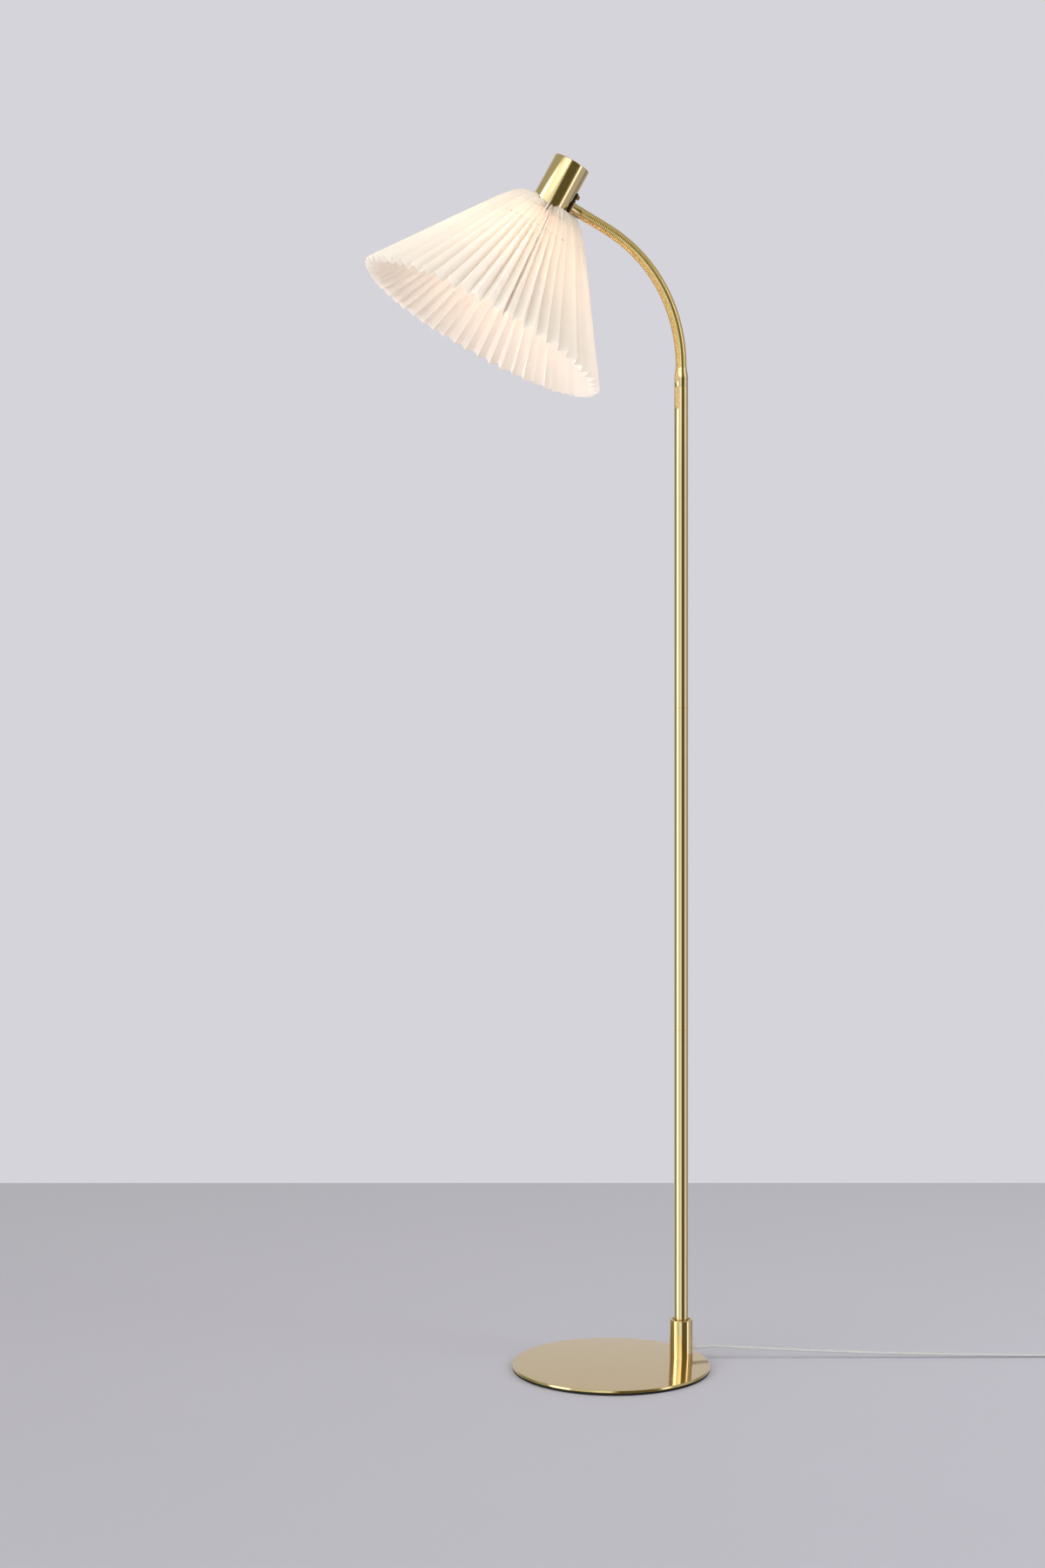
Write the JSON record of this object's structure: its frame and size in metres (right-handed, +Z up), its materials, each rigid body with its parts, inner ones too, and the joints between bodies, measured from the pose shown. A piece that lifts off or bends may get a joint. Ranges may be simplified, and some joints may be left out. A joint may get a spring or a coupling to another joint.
{
  "type": "floor reading lamp",
  "caption": "Brass floor lamp: round weighted base, slim pole in an offset sleeve, short bendable arm, and a tilted lit head with a pleated cone shade.",
  "frame": {"origin": "centre of the round base's underside, on the floor", "axes": "+Z up the pole; +X from the base centre towards the pole; the head hangs back over the base towards -X"},
  "size_m": [0.9546, 0.3659, 1.4581],
  "materials": {
    "satin_brass": "satin lacquered brass plate",
    "polished_brass": "polished lacquered brass",
    "arm_brass": "polished ribbed brass hose",
    "raw_brass": "turned brass",
    "black_rubber": "matte black foam rubber",
    "zinc_steel": "zinc plated",
    "black_plastic": "moulded matte black",
    "clear_pvc": "clear soft PVC over two cores",
    "shade_film": "matte translucent pleated white paper laminate, lit from inside",
    "white_thread": "twisted white cotton",
    "white_plastic": "moulded white",
    "opal_diffuser": "opal diffuser, lit"
  },
  "bodies": {
    "base": {"base_plate": "satin_brass", "base_pad": "black_rubber", "base_sleeve": "polished_brass", "sleeve_plug": "raw_brass", "foot_nipple": "zinc_steel", "foot_washer": "zinc_steel", "foot_nut": "zinc_steel", "sleeve_bush": "raw_brass", "sleeve_screw": "zinc_steel", "cord_gland": "clear_pvc", "inlet_lead": "clear_pvc", "supply_cord": "clear_pvc", "cord_coil": "clear_pvc", "coil_tie": "black_plastic", "cord_tail": "clear_pvc", "plug_relief": "clear_pvc", "plug_body": "clear_pvc", "plug_pin_left": "raw_brass", "plug_pin_right": "raw_brass"},
    "pole": {"pole_lower": "polished_brass", "pole_middle": "polished_brass", "pole_upper": "polished_brass", "joiner_lower": "zinc_steel", "joiner_upper": "zinc_steel", "pole_cap": "polished_brass", "pole_lead": "clear_pvc", "hose_1": "arm_brass"},
    "arm_1": {"hose_2": "arm_brass"},
    "arm_2": {"hose_3": "arm_brass"},
    "arm_3": {"hose_4": "arm_brass"},
    "arm_4": {"hose_5": "arm_brass"},
    "arm_5": {"hose_6": "arm_brass"},
    "arm_6": {"hose_7": "arm_brass"},
    "arm_7": {"hose_8": "arm_brass"},
    "arm_8": {"hose_9": "arm_brass"},
    "head": {"hose_10": "arm_brass", "arm_ferrule": "polished_brass", "arm_washer": "polished_brass", "saddle_pad": "black_plastic", "arm_nipple": "zinc_steel", "arm_nut": "zinc_steel", "switch_body": "black_plastic", "housing_shell": "polished_brass", "holder_stud": "zinc_steel", "holder_cap": "black_plastic", "holder_body": "black_plastic", "holder_thread": "raw_brass", "holder_contact": "raw_brass", "holder_ring": "black_plastic", "shade_carrier": "zinc_steel", "pleated_shade": "shade_film", "stitch_cord_upper": "white_thread", "stitch_cord_lower": "white_thread", "bulb_cap": "zinc_steel", "bulb_collar": "white_plastic", "bulb_globe": "opal_diffuser"},
    "button": {"switch_button": "polished_brass"}
  },
  "joints": [
    {"name": "pole_swivel", "type": "hinge", "parent": "base", "child": "pole", "pos_m": [0.0915, 0, 0.022], "axis": [0, 0, 1], "range_deg": [-165, 165]},
    {"name": "arm_bend_1", "type": "hinge", "parent": "pole", "child": "arm_1", "pos_m": [0.0915, 0, 1.218], "axis": [-0.1925, -0.9813, 0], "range_deg": [-10, 5]},
    {"name": "arm_bend_2", "type": "hinge", "parent": "arm_1", "child": "arm_2", "pos_m": [0.08912, 0.00047, 1.24107], "axis": [-0.1925, -0.9813, 0], "range_deg": [-10, 5]},
    {"name": "arm_sway_1", "type": "hinge", "parent": "arm_2", "child": "arm_3", "pos_m": [0.08419, 0.00143, 1.26372], "axis": [-0.9433, 0.1851, -0.2756], "range_deg": [-10, 10]},
    {"name": "arm_bend_3", "type": "hinge", "parent": "arm_3", "child": "arm_4", "pos_m": [0.07659, 0.00293, 1.28559], "axis": [-0.1925, -0.9813, 0], "range_deg": [-10, 5]},
    {"name": "arm_bend_4", "type": "hinge", "parent": "arm_4", "child": "arm_5", "pos_m": [0.06643, 0.00492, 1.30635], "axis": [-0.1925, -0.9813, 0], "range_deg": [-10, 5]},
    {"name": "arm_sway_2", "type": "hinge", "parent": "arm_5", "child": "arm_6", "pos_m": [0.05371, 0.00741, 1.32559], "axis": [-0.7759, 0.1522, -0.6122], "range_deg": [-10, 10]},
    {"name": "arm_bend_5", "type": "hinge", "parent": "arm_6", "child": "arm_7", "pos_m": [0.03862, 0.01038, 1.34296], "axis": [-0.1925, -0.9813, 0], "range_deg": [-10, 5]},
    {"name": "arm_bend_6", "type": "hinge", "parent": "arm_7", "child": "arm_8", "pos_m": [0.02144, 0.01375, 1.35818], "axis": [-0.1925, -0.9813, 0], "range_deg": [-10, 5]},
    {"name": "arm_sway_3", "type": "hinge", "parent": "arm_8", "child": "head", "pos_m": [0.00256, 0.01745, 1.37116], "axis": [-0.5091, 0.0999, -0.8549], "range_deg": [-10, 10]},
    {"name": "switch_press", "type": "slide", "parent": "head", "child": "button", "axis": [-0.8624, 0.1692, 0.4772], "range_m": [0, 0.0015], "stiffness_N_per_m": 600}
  ],
  "couplings": [
    {"joint": "arm_bend_2", "follows": "arm_bend_1", "ratio": 1},
    {"joint": "arm_bend_3", "follows": "arm_bend_1", "ratio": 1},
    {"joint": "arm_bend_4", "follows": "arm_bend_1", "ratio": 1},
    {"joint": "arm_sway_2", "follows": "arm_sway_1", "ratio": 1},
    {"joint": "arm_bend_5", "follows": "arm_bend_1", "ratio": 1},
    {"joint": "arm_bend_6", "follows": "arm_bend_1", "ratio": 1},
    {"joint": "arm_sway_3", "follows": "arm_sway_1", "ratio": 1}
  ]
}
